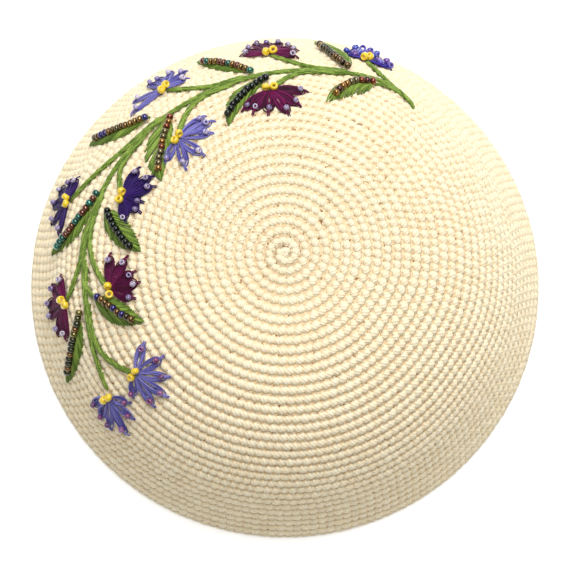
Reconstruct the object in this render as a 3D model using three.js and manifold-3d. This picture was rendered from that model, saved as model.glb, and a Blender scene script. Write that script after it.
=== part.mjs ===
// Crocheted skullcap with a garland of embroidered leaves and fan flowers around one side.
// Millimetres, +Z up. The origin is the centre of the rim, on the surface that the cap rests on.
// A place on the cloth is an azimuth in degrees, counter-clockwise from +X as seen from above,
// and a distance in millimetres from the crown's centre, measured over the cloth.

import * as THREE from 'three';
import { mergeVertices } from 'three/addons/utils/BufferGeometryUtils.js';
import Module from 'manifold-3d';

// Driving dimensions of the crown
const CROWN_ARC = 114;
const WALL = 2.4;
const CROWN_SIDES = 52;
const STEPS_PER_ARC = 3;

// The meridian is a chain of tangent arcs. Each row ends at a share of the crown's arc, at this slope.
const MERIDIAN = [
  { share: 0.22, slope: 1 },
  { share: 0.42, slope: 24.5 },
  { share: 0.62, slope: 46.5 },
  { share: 0.8, slope: 65.5 },
  { share: 1, slope: 66 },
];

// Driving dimensions of the embroidery, which lies on the crown's outer face
const SEAT_GAP = 0.35;
const LEAF_CREST = 1.3;
const FLOWER_CREST = 1.4;
const STEM_CREST = 1.5;
const STEM_WIDTH = 1.8;
const PETAL_WIDTH = 4.4;
const FLOWER_EYE = 5;
const CUT_GAP = 0.3;
const CUT_DEPTH = 1;
const STEM_STEP = 4.5;
const LEAF_STEPS = 8;
const PETAL_STEPS = 4;
const PATH_NUDGE = 0.01;
const VINE_HALVINGS = 24;

// The main stem of the vine, from its free end to its last flower
const VINE = [
  { azimuth: 50.8, distance: 74 },
  { azimuth: 60.9, distance: 78.1 },
  { azimuth: 74.9, distance: 72.9 },
  { azimuth: 92, distance: 68.2 },
  { azimuth: 118.1, distance: 65.7 },
  { azimuth: 145.2, distance: 67.4 },
  { azimuth: 172.2, distance: 70.5 },
  { azimuth: 192.2, distance: 71.6 },
  { azimuth: 215.2, distance: 78.3 },
];

// A table with named columns, as one object for each row
function namedRows(columns, rows) {
  return rows.map((row) => Object.fromEntries(row.map((value, index) => [columns[index], value])));
}

// Fan flowers. The heading of a fan turns counter-clockwise from straight towards the rim, spread is
// half of its opening, reach and side are the lengths of its middle and outermost petals, and joins
// is the azimuth where its stalk leaves the vine. The last flower ends the vine itself.
const FLOWERS = namedRows(
  ['thread', 'azimuth', 'distance', 'heading', 'spread', 'reach', 'side', 'petals', 'joins'],
  [
    ['royal', 69.6, 92, 0, 105, 13.5, 9.5, 7, 56],
    ['burgundy', 94, 82, -3, 100, 17, 10.5, 6, 76],
    ['burgundy', 95, 58.8, -165, 70, 12.5, 12.5, 6, 78],
    ['lavender', 123.5, 80.5, -6, 100, 18, 11, 6, 106],
    ['lavender', 131.5, 53.8, -166, 84, 12.5, 11.5, 6, 110],
    ['indigo', 162, 86.5, -2, 100, 16, 10.5, 6, 134],
    ['indigo', 158.7, 58.8, -168, 74, 11, 11, 6, 142],
    ['burgundy', 189, 82, -6, 84, 15.5, 11.5, 6, 173],
    ['burgundy', 190.3, 59.6, -155, 62, 11.5, 12, 5, 163],
    ['lavender', 217.4, 64, 124, 88, 13, 11, 6, 195],
    ['lavender', 216.8, 80.5, 60, 78, 14, 11, 6],
  ],
);

// Leaves, from base to tip along the midrib. Bow is how far the midrib bends to the left of a straight
// line, and left and right are the half widths on either side of it, as seen from its base. A leaf
// with no stalk of its own sits on the vine.
const LEAVES = namedRows(
  ['azimuth', 'distance', 'tipAzimuth', 'tipDistance', 'bow', 'left', 'right', 'joins'],
  [
    [72.4, 78, 83, 105.7, -2, 5, 2],
    [63.9, 73.5, 75.5, 55.6, -2, 4.5, 2, 56],
    [99.5, 69.6, 112.1, 94.9, 2, 3, 2],
    [96, 64.4, 113, 47.7, -1, 2, 4],
    [132.2, 71.2, 145.7, 96.5, 2, 4.5, 2],
    [128.1, 63.5, 148.1, 48.2, 0, 3, 6],
    [160.7, 70.9, 175.2, 92.9, 2, 5, 2],
    [163.7, 64.2, 178.1, 47.3, 0, 4, 4],
    [190.7, 66.7, 205.1, 51.3, 0, 3.5, 4, 184],
    [193.2, 75, 206.1, 99.7, 2, 4.5, 2],
  ],
);

// How a petal and a leaf swell from base to tip: skew sets where they are widest, fullness how blunt
const PETAL_SWELL = { skew: 1.3, fullness: 0.7 };
const LEAF_SWELL = { skew: 0.85, fullness: 0.8 };
const EYE_SWELL = { skew: 1, fullness: 1 };

// Colours of the yarn and threads
const CREAM = 0xf3ead0;
const GREEN = 0x5d7f3c;
const THREADS = { royal: 0x3a3c96, burgundy: 0x6a2138, lavender: 0xa08ab8, indigo: 0x2c2550 };
const YARN_ROUGHNESS = 0.9;
const THREAD_ROUGHNESS = 0.6;

// Outline of a raised pad's cross section, as shares of its half width and of its height
const PAD_SECTION = [
  { side: 1, lift: 0 },
  { side: 0.7, lift: 0.7 },
  { side: 0, lift: 1 },
  { side: -0.7, lift: 0.7 },
  { side: -1, lift: 0 },
];

const wasm = await Module();
wasm.setup();

// Radius, height and slope of the meridian at a distance from the crown's centre, with the centre at 0
function meridianFromTop(distance) {
  let radius = 0;
  let height = 0;
  let slope = 0;
  let start = 0;
  for (const row of MERIDIAN) {
    const end = row.share * CROWN_ARC;
    const bend = (THREE.MathUtils.degToRad(row.slope) - slope) / (end - start);
    const past = row.share < 1 ? Math.min(distance, end) : distance;
    const turned = slope + bend * (past - start);
    radius += (Math.sin(turned) - Math.sin(slope)) / bend;
    height -= (Math.cos(slope) - Math.cos(turned)) / bend;
    slope = turned;
    if (past === distance) break;
    start = end;
  }
  return { radius, height, slope };
}

const CROWN_HEIGHT = -meridianFromTop(CROWN_ARC).height;

// A point at this height over the cloth's outer face, or inside the cloth where it is negative
function onCloth(azimuth, distance, over) {
  const { radius, height, slope } = meridianFromTop(distance);
  const turn = THREE.MathUtils.degToRad(azimuth);
  const out = radius + over * Math.sin(slope);
  return new THREE.Vector3(
    out * Math.cos(turn),
    out * Math.sin(turn),
    CROWN_HEIGHT + height + over * Math.cos(slope),
  );
}

// The place reached from another by going along a heading and then aside to its left
function shifted(place, heading, along, aside) {
  const turn = THREE.MathUtils.degToRad(heading);
  const distance = place.distance + along * Math.cos(turn) - aside * Math.sin(turn);
  const around = along * Math.sin(turn) + aside * Math.cos(turn);
  const { radius } = meridianFromTop(distance);
  return { azimuth: place.azimuth + THREE.MathUtils.radToDeg(around / radius), distance };
}

// The heading from one place to another, and how far apart they are
function bearing(from, to) {
  const { radius } = meridianFromTop((from.distance + to.distance) / 2);
  const around = THREE.MathUtils.degToRad(to.azimuth - from.azimuth) * radius;
  const out = to.distance - from.distance;
  return {
    heading: THREE.MathUtils.radToDeg(Math.atan2(around, out)),
    length: Math.hypot(around, out),
  };
}

// A closed skin over rings of points, drawn to one point at each end
function skin(start, rings, end) {
  const sides = rings[0].length;
  const points = [start, ...rings.flat(), end];
  const last = points.length - 1;
  const faces = [];
  for (let side = 0; side < sides; side += 1) {
    const next = (side + 1) % sides;
    faces.push(0, 1 + next, 1 + side);
    for (let ring = 0; ring < rings.length - 1; ring += 1) {
      const near = 1 + ring * sides;
      const far = near + sides;
      faces.push(near + side, near + next, far + next);
      faces.push(near + side, far + next, far + side);
    }
    const edge = last - sides;
    faces.push(edge + side, edge + next, last);
  }
  const geometry = new THREE.BufferGeometry().setFromPoints(points);
  geometry.setIndex(faces);
  return geometry;
}

// Half width of a pad of this shape at a share of its length, as a share of the widest
const swell = (shape, share) => Math.sin(Math.PI * share ** shape.skew) ** shape.fullness;

// A raised pad along a path of places. Left and right give its half widths at each share of the path.
// With grow it is a cutter, wider all round and deep enough to cut a neighbouring pad right through.
function padAlong({ path, left, right, crest, steps, grow = 0 }) {
  const cut = grow > 0 ? CUT_DEPTH : 0;
  const low = SEAT_GAP - cut;
  const rise = crest + cut - low;
  const pointAt = (share) => {
    const before = path(Math.max(share - PATH_NUDGE, 0));
    const after = path(Math.min(share + PATH_NUDGE, 1));
    return { place: path(share), heading: bearing(before, after).heading };
  };
  const rings = [];
  for (let step = 0; step < steps; step += 1) {
    const share = (step + 1 / 2) / steps;
    const { place, heading } = pointAt(share);
    const ring = PAD_SECTION.map(({ side, lift }) => {
      const half = (side > 0 ? left(share) : right(share)) + grow;
      const spot = shifted(place, heading, 0, side * half);
      return onCloth(spot.azimuth, spot.distance, low + lift * rise);
    });
    rings.push(ring);
  }
  const ends = [0, 1].map((share) => {
    const { place, heading } = pointAt(share);
    const spot = shifted(place, heading, share === 0 ? -grow : grow, 0);
    return onCloth(spot.azimuth, spot.distance, low + rise / 2);
  });
  return skin(ends[0], rings, ends[1]);
}

// A geometry as a solid that can be joined and cut, and back
function toSolid(geometry) {
  const plain = geometry.clone();
  plain.deleteAttribute('normal');
  plain.deleteAttribute('uv');
  const merged = mergeVertices(plain);
  return new wasm.Manifold(new wasm.Mesh({
    numProp: 3,
    vertProperties: new Float32Array(merged.attributes.position.array),
    triVerts: new Uint32Array(merged.index.array),
  }));
}

function toGeometry(solid) {
  const { vertProperties, triVerts } = solid.getMesh();
  const geometry = new THREE.BufferGeometry();
  geometry.setAttribute('position', new THREE.BufferAttribute(vertProperties, 3));
  geometry.setIndex(new THREE.BufferAttribute(triVerts, 1));
  geometry.computeVertexNormals();
  return geometry;
}

const joined = (solids) => solids.reduce((whole, solid) => whole.add(solid));

// The largest body of a solid that a cut may have left in several
function largest(solid) {
  const bodies = solid.decompose();
  return bodies.reduce((best, body) => (body.volume() > best.volume() ? body : best));
}

// The crown is a hollow shell: outer face from centre to rim, a flat rim, inner face back to the centre
function crownGeometry() {
  const outer = [];
  let start = 0;
  for (const { share } of MERIDIAN) {
    for (let step = 0; step < STEPS_PER_ARC; step += 1) {
      outer.push((start + (share - start) * (step / STEPS_PER_ARC)) * CROWN_ARC);
    }
    start = share;
  }
  const facePoint = (distance, over) => {
    const point = onCloth(0, distance, over);
    return new THREE.Vector2(point.x, point.z);
  };
  const rim = meridianFromTop(CROWN_ARC);
  const rimInside = rim.radius - WALL / Math.sin(rim.slope);
  const profile = [
    ...outer.map((distance) => facePoint(distance, 0)),
    new THREE.Vector2(rim.radius, 0),
    new THREE.Vector2(rimInside, 0),
    ...outer.reverse().map((distance) => facePoint(distance, -WALL)),
  ];
  profile[0].x = 0;
  profile[profile.length - 1].x = 0;
  return new THREE.LatheGeometry(profile.reverse(), CROWN_SIDES).rotateX(Math.PI / 2);
}

// The vine and its stalks, each a path of places
const vineCurve = new THREE.SplineCurve(
  VINE.map(({ azimuth, distance }) => new THREE.Vector2(azimuth, distance)),
);

function vineAt(azimuth) {
  let low = 0;
  let high = 1;
  for (let pass = 0; pass < VINE_HALVINGS; pass += 1) {
    const middle = (low + high) / 2;
    if (vineCurve.getPoint(middle).x < azimuth) low = middle;
    else high = middle;
  }
  return vineCurve.getPoint(low);
}

// A stalk leaves the vine along it and bends off to its flower or leaf
function stalkCurve(motif) {
  const bend = vineAt((motif.joins + motif.azimuth) / 2);
  const end = new THREE.Vector2(motif.azimuth, motif.distance);
  return new THREE.QuadraticBezierCurve(vineAt(motif.joins), bend, end);
}

function stemGeometry(curve, grow = 0) {
  const path = (share) => {
    const point = curve.getPoint(share);
    return { azimuth: point.x, distance: point.y };
  };
  const { length } = bearing(path(0), path(1));
  const half = () => STEM_WIDTH / 2;
  const steps = Math.ceil(length / STEM_STEP);
  return padAlong({ path, left: half, right: half, crest: STEM_CREST, steps, grow });
}

const stemCurves = [
  vineCurve,
  ...[...FLOWERS, ...LEAVES].filter((motif) => motif.joins).map(stalkCurve),
];
const vineSolid = joined(stemCurves.map((curve) => toSolid(stemGeometry(curve))));
const vineCut = joined(stemCurves.map((curve) => toSolid(stemGeometry(curve, CUT_GAP))));

// A flower is a fan of petals around an eye
function flowerSolid(flower, grow = 0) {
  const solids = [];
  for (let petal = 0; petal < flower.petals; petal += 1) {
    const fan = (2 * petal) / (flower.petals - 1) - 1;
    const turn = fan * flower.spread;
    const middle = Math.cos(THREE.MathUtils.degToRad(turn)) ** 2;
    const length = flower.reach * middle + flower.side * (1 - middle);
    const path = (share) => shifted(flower, flower.heading + turn, share * length, 0);
    const half = (share) => (PETAL_WIDTH / 2) * swell(PETAL_SWELL, share);
    const petalPad = { path, left: half, right: half, crest: FLOWER_CREST, steps: PETAL_STEPS, grow };
    solids.push(toSolid(padAlong(petalPad)));
  }
  const eyePath = (share) => shifted(flower, flower.heading, (share - 1 / 2) * FLOWER_EYE, 0);
  const eyeHalf = (share) => (FLOWER_EYE / 2) * swell(EYE_SWELL, share);
  const eyePad = { path: eyePath, left: eyeHalf, right: eyeHalf, crest: FLOWER_CREST, steps: PETAL_STEPS };
  solids.push(toSolid(padAlong({ ...eyePad, grow })));
  return joined(solids);
}

// A leaf is one pointed pad along its midrib
function leafSolid(leaf) {
  const tip = { azimuth: leaf.tipAzimuth, distance: leaf.tipDistance };
  const { heading } = bearing(leaf, tip);
  const path = (share) => {
    const straight = {
      azimuth: THREE.MathUtils.lerp(leaf.azimuth, tip.azimuth, share),
      distance: THREE.MathUtils.lerp(leaf.distance, tip.distance, share),
    };
    return shifted(straight, heading, 0, leaf.bow * Math.sin(Math.PI * share));
  };
  const left = (share) => leaf.left * swell(LEAF_SWELL, share);
  const right = (share) => leaf.right * swell(LEAF_SWELL, share);
  return toSolid(padAlong({ path, left, right, crest: LEAF_CREST, steps: LEAF_STEPS }));
}

// The cap: one named mesh for each piece
const cap = new THREE.Group();

function addPiece(name, geometry, color, roughness) {
  const material = new THREE.MeshStandardMaterial({ color, roughness, metalness: 0 });
  const mesh = new THREE.Mesh(geometry, material);
  mesh.name = name;
  cap.add(mesh);
}

const numbered = (kind, index) => `${kind}_${String(index + 1).padStart(2, '0')}`;

addPiece('crown', crownGeometry(), CREAM, YARN_ROUGHNESS);
addPiece('vine', toGeometry(vineSolid), GREEN, THREAD_ROUGHNESS);

// The stems lie whole, the flowers keep clear of them, and the leaves keep clear of both
let taken = vineCut;
FLOWERS.forEach((flower, index) => {
  const solid = largest(flowerSolid(flower).subtract(taken));
  addPiece(numbered('flower', index), toGeometry(solid), THREADS[flower.thread], THREAD_ROUGHNESS);
  taken = taken.add(flowerSolid(flower, CUT_GAP));
});

LEAVES.forEach((leaf, index) => {
  const solid = largest(leafSolid(leaf).subtract(taken));
  addPiece(numbered('leaf', index), toGeometry(solid), GREEN, THREAD_ROUGHNESS);
});

export default cap;
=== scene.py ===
"""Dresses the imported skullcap: a crocheted cotton crown, a floss garland and seed beads."""

import logging
import math
import random
from collections.abc import Iterable, Sequence
from dataclasses import dataclass, field
from enum import Enum

import bpy
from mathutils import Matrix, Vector


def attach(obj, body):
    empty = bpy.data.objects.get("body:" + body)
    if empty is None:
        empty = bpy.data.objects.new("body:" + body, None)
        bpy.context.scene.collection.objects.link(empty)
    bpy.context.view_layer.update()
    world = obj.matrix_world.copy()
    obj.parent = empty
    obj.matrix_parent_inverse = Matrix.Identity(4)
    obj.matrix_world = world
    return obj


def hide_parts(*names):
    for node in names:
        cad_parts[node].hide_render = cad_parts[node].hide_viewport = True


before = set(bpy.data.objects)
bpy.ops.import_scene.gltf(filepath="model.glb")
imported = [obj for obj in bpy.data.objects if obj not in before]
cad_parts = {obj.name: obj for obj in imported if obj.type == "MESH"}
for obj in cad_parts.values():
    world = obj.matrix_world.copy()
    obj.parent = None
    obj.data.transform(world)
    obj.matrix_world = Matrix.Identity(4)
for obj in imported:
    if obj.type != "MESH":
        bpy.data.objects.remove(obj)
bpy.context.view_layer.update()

LOG = logging.getLogger("skullcap")
BODY = "root"

# Lengths below are in millimetres, angles in degrees, and Blender works in metres
MM = 0.001
FULL_TURN = 360.0
QUARTER_TURN = 90.0

# Names of the attributes that the meshes carry for their node trees and finishes
NORMAL = "facing"
OUTWARD = "heading"
SIZE = "size"
TINT = "tint"
TONE = "tone"
THICK = "thick"
ALONG = "along"
AROUND = "around"
# The crest is a height within a stitch or thread, which the finishes turn into painted shade where it is
# low
CREST = "crest"
PLY = "ply"

# Sockets of the colour Mix node, whose names repeat
MIX_SHARE = 0
MIX_FIRST = 6
MIX_SECOND = 7
MIX_RESULT = 2

Socket = bpy.types.NodeSocket
Paint = tuple[float, float, float, float]


def paint(red: int, green: int, blue: int) -> Paint:
    """Turns a colour as a picture shows it into the linear colour that a shader takes.

    Args:
        red: Red, from 0 to 255.
        green: Green, from 0 to 255.
        blue: Blue, from 0 to 255.

    Returns:
        The linear colour with full cover.
    """
    top, knee, slant, lift, power = 255.0, 0.04045, 12.92, 0.055, 2.4

    def linear(level: int) -> float:
        """Gives one channel's linear share."""
        share = level / top
        return share / slant if share <= knee else ((share + lift) / (1.0 + lift)) ** power

    return linear(red), linear(green), linear(blue), 1.0


def blend(first: float, second: float, share: float) -> float:
    """Gives the value that lies a share of the way from the first to the second."""
    return first + (second - first) * share


def ease(share: float) -> float:
    """Gives a smooth step from 0 to 1, held outside that range."""
    held = min(max(share, 0.0), 1.0)
    return held * held * (3.0 - 2.0 * held)


# The cloth and its chart


@dataclass(frozen=True)
class Place:
    """A point of the cloth's chart: its azimuth, and its distance over the cloth from the crown."""

    azimuth: float
    distance: float


@dataclass(frozen=True)
class Bend:
    """One arc of the meridian: the share of the cloth where it ends, and its slope there."""

    share: float
    slope: float


@dataclass(frozen=True)
class Cloth:
    """The crown's outer face: a meridian of tangent arcs, turned about the upright axis."""

    arc: float = 114.0
    meridian: tuple[Bend, ...] = (
        Bend(0.22, 1.0),
        Bend(0.42, 24.5),
        Bend(0.62, 46.5),
        Bend(0.8, 65.5),
        Bend(1.0, 66.0),
    )

    def section(self, distance: float) -> tuple[float, float, float]:
        """Follows the meridian from the crown's centre.

        Args:
            distance: Distance over the cloth.

        Returns:
            The radius, the drop below the centre and the slope in radians.
        """
        radius = drop = slope = start = 0.0
        for bend in self.meridian:
            end = bend.share * self.arc
            turn = (math.radians(bend.slope) - slope) / (end - start)
            past = min(distance, end) if bend.share < 1.0 else distance
            turned = slope + turn * (past - start)
            radius += (math.sin(turned) - math.sin(slope)) / turn
            drop += (math.cos(slope) - math.cos(turned)) / turn
            slope = turned
            if past == distance:
                break
            start = end
        return radius, drop, slope

    def point(self, place: Place, over: float) -> Vector:
        """Gives the point over a place, in metres.

        Args:
            place: Where on the chart.
            over: Height over the outer face, negative inside the cloth.

        Returns:
            The point in the part's frame.
        """
        radius, drop, slope = self.section(place.distance)
        height = self.section(self.arc)[1] - drop
        turn = math.radians(place.azimuth)
        out = radius + over * math.sin(slope)
        up = height + over * math.cos(slope)
        return Vector((out * math.cos(turn), out * math.sin(turn), up)) * MM

    def axes(self, place: Place) -> tuple[Vector, Vector]:
        """Gives the direction straight out to the rim and the cloth's normal at a place."""
        slope = self.section(place.distance)[2]
        turn = math.radians(place.azimuth)
        ray = Vector((math.cos(turn), math.sin(turn), 0.0))
        up = Vector((0.0, 0.0, 1.0))
        outward = ray * math.cos(slope) - up * math.sin(slope)
        normal = ray * math.sin(slope) + up * math.cos(slope)
        return outward, normal

    def direction(self, place: Place, heading: float) -> Vector:
        """Gives the direction in the cloth of a heading, counted anticlockwise from outward."""
        outward, normal = self.axes(place)
        turn = math.radians(heading)
        return outward * math.cos(turn) + normal.cross(outward) * math.sin(turn)

    def shifted(self, place: Place, heading: float, along: float, aside: float) -> Place:
        """Goes from a place along a heading, then aside to its left.

        Args:
            place: Where to start.
            heading: Direction, anticlockwise from straight outward.
            along: How far to go along the heading.
            aside: How far to go to its left.

        Returns:
            The place reached.
        """
        turn = math.radians(heading)
        distance = place.distance + along * math.cos(turn) - aside * math.sin(turn)
        around = along * math.sin(turn) + aside * math.cos(turn)
        radius = self.section(distance)[0]
        return Place(place.azimuth + math.degrees(around / radius), distance)

    def bearing(self, start: Place, end: Place) -> tuple[float, float]:
        """Gives the heading from one place to another and how far apart they are."""
        radius = self.section((start.distance + end.distance) / 2.0)[0]
        around = math.radians(end.azimuth - start.azimuth) * radius
        out = end.distance - start.distance
        return math.degrees(math.atan2(around, out)), math.hypot(around, out)


@dataclass
class Route:
    """A line over the cloth that can be followed by length."""

    cloth: Cloth
    places: Sequence[Place]
    reached: list[float] = field(default_factory=list)

    def __post_init__(self) -> None:
        """Adds up the length at each place."""
        total = 0.0
        self.reached = [total]
        for start, end in zip(self.places, self.places[1:]):
            total += self.cloth.bearing(start, end)[1]
            self.reached.append(total)

    @property
    def length(self) -> float:
        """The whole length."""
        return self.reached[-1]

    def at(self, along: float) -> tuple[Place, float]:
        """Gives the place at a length along the route and the heading there."""
        step = 0
        while step < len(self.places) - 2 and self.reached[step + 1] < along:
            step += 1
        start, end = self.places[step], self.places[step + 1]
        heading, length = self.cloth.bearing(start, end)
        share = (along - self.reached[step]) / length
        azimuth = blend(start.azimuth, end.azimuth, share)
        return Place(azimuth, blend(start.distance, end.distance, share)), heading


# Node trees


class Sketch:
    """Adds nodes to one tree and joins them."""

    def __init__(self, tree: bpy.types.NodeTree) -> None:
        """Keeps the tree that is being drawn."""
        self.tree = tree

    def add(self, kind: str, **settings: object) -> bpy.types.Node:
        """Adds a node and gives it its settings."""
        node = self.tree.nodes.new(kind)
        for name, value in settings.items():
            setattr(node, name, value)
        return node

    def feed(self, target: Socket, source: object) -> None:
        """Joins a socket to a source, or sets it where the source is a plain value."""
        if isinstance(source, Socket):
            self.tree.links.new(source, target)
        else:
            target.default_value = source

    def math(self, operation: str, first: object, second: object = 0.0) -> Socket:
        """Adds one step of arithmetic and gives its result."""
        node = self.add("ShaderNodeMath", operation=operation)
        self.feed(node.inputs[0], first)
        self.feed(node.inputs[1], second)
        return node.outputs[0]

    def mix(self, share: object, first: object, second: object) -> Socket:
        """Adds a mix of two colours and gives its result."""
        node = self.add("ShaderNodeMix", data_type="RGBA")
        self.feed(node.inputs[MIX_SHARE], share)
        self.feed(node.inputs[MIX_FIRST], first)
        self.feed(node.inputs[MIX_SECOND], second)
        return node.outputs[MIX_RESULT]

    def spread(self, value: Socket, low: float, high: float) -> Socket:
        """Spreads a value smoothly from 0 at low to 1 at high and gives the result."""
        node = self.add("ShaderNodeMapRange", interpolation_type="SMOOTHSTEP")
        self.feed(node.inputs["Value"], value)
        self.feed(node.inputs["From Min"], low)
        self.feed(node.inputs["From Max"], high)
        return node.outputs["Result"]

    def attribute(self, name: str) -> bpy.types.Node:
        """Adds a node that reads one of the mesh's attributes."""
        return self.add("ShaderNodeAttribute", attribute_name=name)

    def named(self, name: str, kind: str) -> Socket:
        """Reads a named attribute inside a geometry tree."""
        node = self.add("GeometryNodeInputNamedAttribute", data_type=kind)
        self.feed(node.inputs["Name"], name)
        return node.outputs["Attribute"]

    def store(self, geometry: Socket, name: str, domain: str, value: Socket) -> Socket:
        """Stores a number under a name inside a geometry tree and gives the geometry."""
        node = self.add("GeometryNodeStoreNamedAttribute", data_type="FLOAT", domain=domain)
        self.feed(node.inputs["Geometry"], geometry)
        self.feed(node.inputs["Name"], name)
        self.feed(node.inputs["Value"], value)
        return node.outputs["Geometry"]

    def chance(self, low: Socket | float, high: Socket | float, seed: Socket) -> Socket:
        """Adds a random number between two bounds inside a geometry tree."""
        node = self.add("FunctionNodeRandomValue", data_type="FLOAT")
        bounds = [socket for socket in node.inputs if socket.enabled]
        self.feed(bounds[0], low)
        self.feed(bounds[1], high)
        self.feed(node.inputs["Seed"], seed)
        return next(socket for socket in node.outputs if socket.enabled)


class NodeRule:
    """A geometry node tree that makes a piece, with named inputs."""

    name = "rule"
    inputs: tuple[tuple[str, str], ...] = ()

    def __init__(self) -> None:
        """Makes the tree's sockets and draws its nodes."""
        self.tree = bpy.data.node_groups.new(self.name, "GeometryNodeTree")
        face = self.tree.interface
        face.new_socket("Geometry", in_out="INPUT", socket_type="NodeSocketGeometry")
        self.keys = {
            label: face.new_socket(label, in_out="INPUT", socket_type=kind).identifier
            for label, kind in self.inputs
        }
        face.new_socket("Geometry", in_out="OUTPUT", socket_type="NodeSocketGeometry")
        sketch = Sketch(self.tree)
        given = sketch.add("NodeGroupInput")
        made = self.draw(sketch, given)
        smooth = sketch.add("GeometryNodeSetShadeSmooth")
        sketch.feed(smooth.inputs["Geometry"], made)
        real = sketch.add("GeometryNodeRealizeInstances")
        sketch.feed(real.inputs["Geometry"], smooth.outputs["Geometry"])
        dressed = sketch.add("GeometryNodeSetMaterial")
        sketch.feed(dressed.inputs["Geometry"], real.outputs["Geometry"])
        sketch.feed(dressed.inputs["Material"], given.outputs["Finish"])
        out = sketch.add("NodeGroupOutput")
        sketch.feed(out.inputs["Geometry"], dressed.outputs["Geometry"])

    def draw(self, sketch: Sketch, given: bpy.types.Node) -> Socket:
        """Draws the rule's own nodes and gives the geometry that they make."""
        raise NotImplementedError

    def make(self, name: str, start: bpy.types.Mesh, **values: object) -> bpy.types.Mesh:
        """Runs the rule on a starting mesh.

        Args:
            name: Name of the mesh that is made.
            start: Points or lines that the rule works on.
            values: The tree's inputs by name.

        Returns:
            A plain mesh.
        """
        holder = bpy.data.objects.new(name, start)
        bpy.context.scene.collection.objects.link(holder)
        modifier = holder.modifiers.new(self.name, "NODES")
        modifier.node_group = self.tree
        for label, value in values.items():
            modifier[self.keys[label]] = value
        depsgraph = bpy.context.evaluated_depsgraph_get()
        shown = holder.evaluated_get(depsgraph)
        mesh = bpy.data.meshes.new_from_object(
            shown, preserve_all_data_layers=True, depsgraph=depsgraph
        )
        mesh.name = name
        holder.modifiers.remove(modifier)
        bpy.data.objects.remove(holder)
        bpy.data.meshes.remove(start)
        return mesh


class ScatterRule(NodeRule):
    """Sets a stitch or a bead on each point and turns it to the cloth."""

    name = "scatter_on_cloth"
    inputs = (
        ("Pattern", "NodeSocketObject"),
        ("Finish", "NodeSocketMaterial"),
        ("Twist", "NodeSocketFloat"),
        ("Spread", "NodeSocketFloat"),
        ("Seed", "NodeSocketInt"),
    )

    def draw(self, sketch: Sketch, given: bpy.types.Node) -> Socket:
        """Draws the turn, size and tone of each copy."""
        turn = sketch.add(
            "FunctionNodeAxesToRotation", primary_axis="Z", secondary_axis="Y"
        )
        sketch.feed(turn.inputs["Primary Axis"], sketch.named(NORMAL, "FLOAT_VECTOR"))
        sketch.feed(turn.inputs["Secondary Axis"], sketch.named(OUTWARD, "FLOAT_VECTOR"))
        seed = given.outputs["Seed"]
        twist = given.outputs["Twist"]
        swing = sketch.chance(sketch.math("MULTIPLY", twist, -1.0), twist, seed)
        spun = sketch.add("ShaderNodeCombineXYZ")
        sketch.feed(spun.inputs["Z"], swing)
        euler = sketch.add("FunctionNodeEulerToRotation")
        sketch.feed(euler.inputs["Euler"], spun.outputs["Vector"])
        both = sketch.add("FunctionNodeRotateRotation", rotation_space="LOCAL")
        sketch.feed(both.inputs["Rotation"], turn.outputs["Rotation"])
        sketch.feed(both.inputs["Rotate By"], euler.outputs["Rotation"])
        spread = given.outputs["Spread"]
        small = sketch.math("SUBTRACT", 1.0, spread)
        large = sketch.math("ADD", 1.0, spread)
        later = sketch.math("ADD", seed, 1.0)
        scale = sketch.math(
            "MULTIPLY", sketch.named(SIZE, "FLOAT"), sketch.chance(small, large, later)
        )
        pattern = sketch.add("GeometryNodeObjectInfo")
        sketch.feed(pattern.inputs["Object"], given.outputs["Pattern"])
        placed = sketch.add("GeometryNodeInstanceOnPoints")
        sketch.feed(placed.inputs["Points"], given.outputs["Geometry"])
        sketch.feed(placed.inputs["Instance"], pattern.outputs["Geometry"])
        sketch.feed(placed.inputs["Rotation"], both.outputs["Rotation"])
        sketch.feed(placed.inputs["Scale"], scale)
        last = sketch.math("ADD", seed, 2.0)
        tone = sketch.chance(0.0, 1.0, last)
        return sketch.store(placed.outputs["Instances"], TONE, "INSTANCE", tone)


class ThreadRule(NodeRule):
    """Turns lines into round threads of their own thickness."""

    name = "lines_to_threads"
    inputs = (("Sides", "NodeSocketInt"), ("Finish", "NodeSocketMaterial"))

    def draw(self, sketch: Sketch, given: bpy.types.Node) -> Socket:
        """Draws the round section and carries it along each line."""
        line = sketch.add("GeometryNodeMeshToCurve")
        sketch.feed(line.inputs["Mesh"], given.outputs["Geometry"])
        ring = sketch.add("GeometryNodeCurvePrimitiveCircle")
        sketch.feed(ring.inputs["Resolution"], given.outputs["Sides"])
        sketch.feed(ring.inputs["Radius"], MM)
        share = sketch.add("GeometryNodeSplineParameter")
        marked = sketch.store(
            ring.outputs["Curve"], AROUND, "POINT", share.outputs["Factor"]
        )
        thread = sketch.add("GeometryNodeCurveToMesh")
        sketch.feed(thread.inputs["Curve"], line.outputs["Curve"])
        sketch.feed(thread.inputs["Profile Curve"], marked)
        sketch.feed(thread.inputs["Scale"], sketch.named(THICK, "FLOAT"))
        sketch.feed(thread.inputs["Fill Caps"], True)
        return thread.outputs["Mesh"]


# Meshes that the rules start from


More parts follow.
